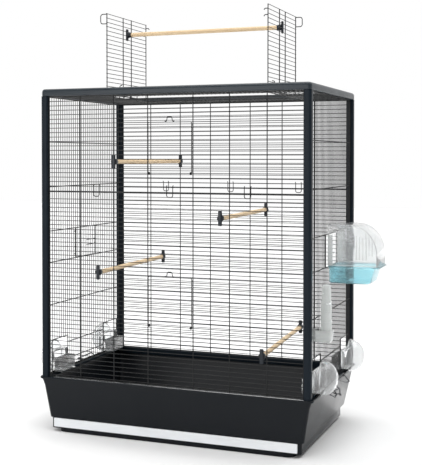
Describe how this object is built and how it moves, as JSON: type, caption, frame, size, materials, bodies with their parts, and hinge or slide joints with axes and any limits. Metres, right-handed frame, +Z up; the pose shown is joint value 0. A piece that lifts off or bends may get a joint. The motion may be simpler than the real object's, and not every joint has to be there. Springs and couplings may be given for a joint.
{
  "type": "bird cage",
  "caption": "Tall wire parakeet cage on a deep plastic base with a litter drawer, drop-down doors, raised roof flaps with a play perch, feeders, drinker and hooded bath.",
  "frame": {"origin": "on the middle of the base's underside, at the crossing of its two ribs", "axes": "+X to the right of someone facing the front doors, +Y from the front to the back, +Z up"},
  "size_m": [0.978, 0.498, 1.192],
  "materials": {
    "frame_paint": "satin charcoal powder coat",
    "wire_paint": "satin dark grey powder coat on steel wire",
    "base_plastic": "satin black moulded plastic",
    "silver_trim": "pale silver",
    "clip_plastic": "satin black",
    "clear_plastic": "clear, moulded",
    "milky_plastic": "translucent white",
    "blue_plastic": "translucent sky blue",
    "beech": "plain turned hardwood"
  },
  "bodies": {
    "cage": {"base_tub": "base_plastic", "base_pan": "base_plastic", "floor_grille": "wire_paint", "post_front_left": "frame_paint", "post_front_right": "frame_paint", "top_rail_front": "frame_paint", "bottom_rail_front": "frame_paint", "post_back_left": "frame_paint", "post_back_right": "frame_paint", "top_rail_back": "frame_paint", "bottom_rail_back": "frame_paint", "top_rail_left": "frame_paint", "bottom_rail_left": "frame_paint", "top_rail_right": "frame_paint", "bottom_rail_right": "frame_paint", "panel_front_lower": "wire_paint", "panel_front_upper": "wire_paint", "panel_back_lower": "wire_paint", "panel_back_upper": "wire_paint", "mid_rail_front": "wire_paint", "mid_rail_back": "wire_paint", "panel_left": "wire_paint", "panel_right": "wire_paint", "roof_grille": "wire_paint", "perch_high": "beech", "perch_high_clip_front": "clip_plastic", "perch_high_clip_back": "clip_plastic", "perch_middle": "beech", "perch_middle_clip_front": "clip_plastic", "perch_middle_clip_back": "clip_plastic", "perch_left": "beech", "perch_left_clip_front": "clip_plastic", "perch_left_clip_back": "clip_plastic", "perch_low": "beech", "perch_low_clip_front": "clip_plastic", "perch_low_clip_back": "clip_plastic", "drinker_trough": "milky_plastic"},
    "drawer": {"drawer_tray": "base_plastic", "drawer_front": "silver_trim"},
    "tray_clip_left": {"tray_clip_left": "clip_plastic"},
    "tray_clip_right": {"tray_clip_right": "clip_plastic"},
    "door_front_upper": {"door_front_upper": "wire_paint"},
    "door_front_lower": {"door_front_lower": "wire_paint"},
    "door_left": {"door_left": "wire_paint"},
    "roof_flap_left": {"roof_flap_left": "wire_paint"},
    "roof_flap_right": {"roof_flap_right": "wire_paint"},
    "play_perch": {"play_perch": "beech", "play_perch_clip_left": "clip_plastic", "play_perch_clip_right": "clip_plastic"},
    "bath": {"bath_tub": "blue_plastic", "bath_hood": "clear_plastic"},
    "drinker_tube": {"drinker_tube": "milky_plastic"},
    "feeder_front_left": {"feeder_front_left": "clear_plastic"},
    "feeder_front_right": {"feeder_front_right": "clear_plastic"},
    "feeder_back_left": {"feeder_back_left": "clear_plastic"},
    "feeder_back_right": {"feeder_back_right": "clear_plastic"}
  },
  "joints": [
    {"name": "drawer_slide", "type": "slide", "parent": "cage", "child": "drawer", "axis": [0, -1, 0], "range_m": [0, 0.38]},
    {"name": "door_front_upper_drop", "type": "hinge", "parent": "cage", "child": "door_front_upper", "pos_m": [0, -0.2387, 0.734], "axis": [1, 0, 0], "range_deg": [0, 150]},
    {"name": "door_front_lower_drop", "type": "hinge", "parent": "cage", "child": "door_front_lower", "pos_m": [0, -0.2387, 0.319], "axis": [1, 0, 0], "range_deg": [0, 170]},
    {"name": "door_left_swing", "type": "hinge", "parent": "cage", "child": "door_left", "pos_m": [-0.3887, -0.061, 0.52], "axis": [0, 0, 1], "range_deg": [0, 170]},
    {"name": "roof_flap_left_fold", "type": "hinge", "parent": "cage", "child": "roof_flap_left", "pos_m": [-0.243, 0, 0.958], "axis": [0, -1, 0], "range_deg": [0, 80]},
    {"name": "roof_flap_right_fold", "type": "hinge", "parent": "cage", "child": "roof_flap_right", "pos_m": [0.243, 0, 0.958], "axis": [0, 1, 0], "range_deg": [0, 80]},
    {"name": "play_perch_lift", "type": "slide", "parent": "roof_flap_left", "child": "play_perch", "axis": [0, 0, 1], "range_m": [0, 0.1]},
    {"name": "tray_clip_left_release", "type": "hinge", "parent": "cage", "child": "tray_clip_left", "pos_m": [-0.39, 0.04, 0.1052], "axis": [0, -1, 0], "range_deg": [0, 50]},
    {"name": "tray_clip_right_release", "type": "hinge", "parent": "cage", "child": "tray_clip_right", "pos_m": [0.39, 0.04, 0.1052], "axis": [0, 1, 0], "range_deg": [0, 50]},
    {"name": "bath_lift", "type": "slide", "parent": "cage", "child": "bath", "axis": [0, 0, 1], "range_m": [0, 0.03]},
    {"name": "drinker_tube_lift", "type": "slide", "parent": "cage", "child": "drinker_tube", "axis": [0, 0, 1], "range_m": [0, 0.06]},
    {"name": "feeder_front_left_pull", "type": "slide", "parent": "cage", "child": "feeder_front_left", "axis": [-1, 0, 0], "range_m": [0, 0.06]},
    {"name": "feeder_front_right_pull", "type": "slide", "parent": "cage", "child": "feeder_front_right", "axis": [1, 0, 0], "range_m": [0, 0.06]},
    {"name": "feeder_back_left_pull", "type": "slide", "parent": "cage", "child": "feeder_back_left", "axis": [-1, 0, 0], "range_m": [0, 0.06]},
    {"name": "feeder_back_right_pull", "type": "slide", "parent": "cage", "child": "feeder_back_right", "axis": [1, 0, 0], "range_m": [0, 0.06]}
  ]
}
